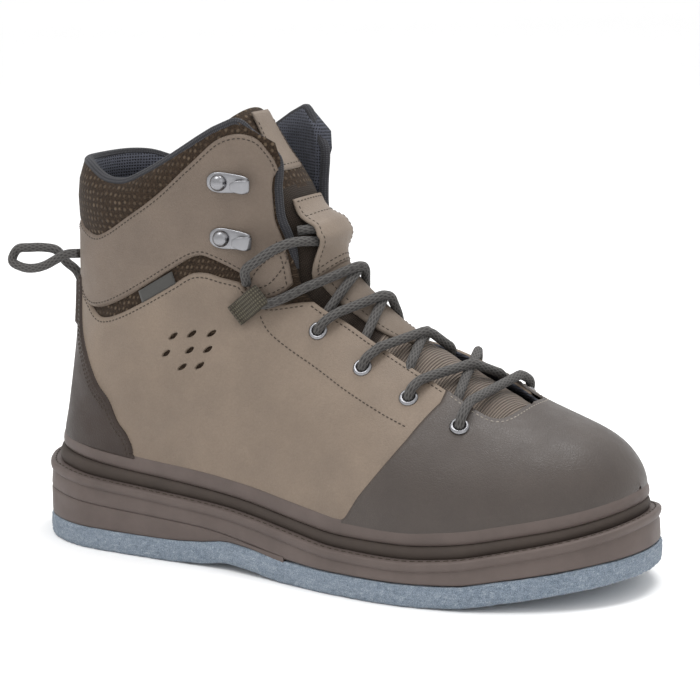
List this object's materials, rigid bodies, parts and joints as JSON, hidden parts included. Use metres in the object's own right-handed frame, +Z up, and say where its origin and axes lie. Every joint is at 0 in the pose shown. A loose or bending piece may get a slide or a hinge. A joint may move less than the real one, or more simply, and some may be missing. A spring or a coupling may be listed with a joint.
{
  "type": "wading boot",
  "caption": "Lace-up wading boot for the right foot with a felt sole, leather upper, lace hooks and a heel pull loop.",
  "frame": {"origin": "on the floor under the middle of the sole's length and width (bounding box, bottom centre, measured without the loose cords)", "axes": "+X towards the toe, +Y to the inner (medial) side, +Z up"},
  "size_m": [0.3436, 0.1253, 0.2119],
  "materials": {
    "taupe_leather": "matt nubuck-like",
    "toe_leather": "matt, slightly coarse",
    "counter_leather": "smooth, soft sheen",
    "brown_rubber": "matt",
    "blue_grey_felt": "dense felt, speckled",
    "brown_fabric": "woven, matt",
    "grey_lace": "round woven cord",
    "olive_webbing": "flat webbing",
    "steel": "bright, rounded",
    "grey_footbed": "matt"
  },
  "bodies": {
    "root": {"felt_outsole": "blue_grey_felt", "heel_wedge": "brown_rubber", "midsole": "brown_rubber", "welt_plate": "brown_rubber", "welt_bead": "brown_rubber", "insole": "grey_footbed", "upper": "taupe_leather", "toe_cap": "toe_leather", "heel_counter": "counter_leather", "tongue": "brown_fabric", "tongue_keeper": "taupe_leather", "back_tab": "counter_leather", "web_loop_lat": "olive_webbing", "web_loop_med": "olive_webbing", "lace_bar": "grey_lace", "lace_cross_1": "grey_lace", "lace_cross_2": "grey_lace", "lace_cross_3": "grey_lace", "lace_cross_4": "grey_lace", "lace_loop_lat": "grey_lace", "lace_loop_med": "grey_lace", "pull_loop": "grey_lace", "eyelet_lat_1": "steel", "eyelet_lat_2": "steel", "eyelet_lat_3": "steel", "eyelet_lat_4": "steel", "hook_lat_1": "steel", "hook_lat_2": "steel", "eyelet_med_1": "steel", "eyelet_med_2": "steel", "eyelet_med_3": "steel", "eyelet_med_4": "steel", "hook_med_1": "steel", "hook_med_2": "steel"}
  },
  "joints": []
}
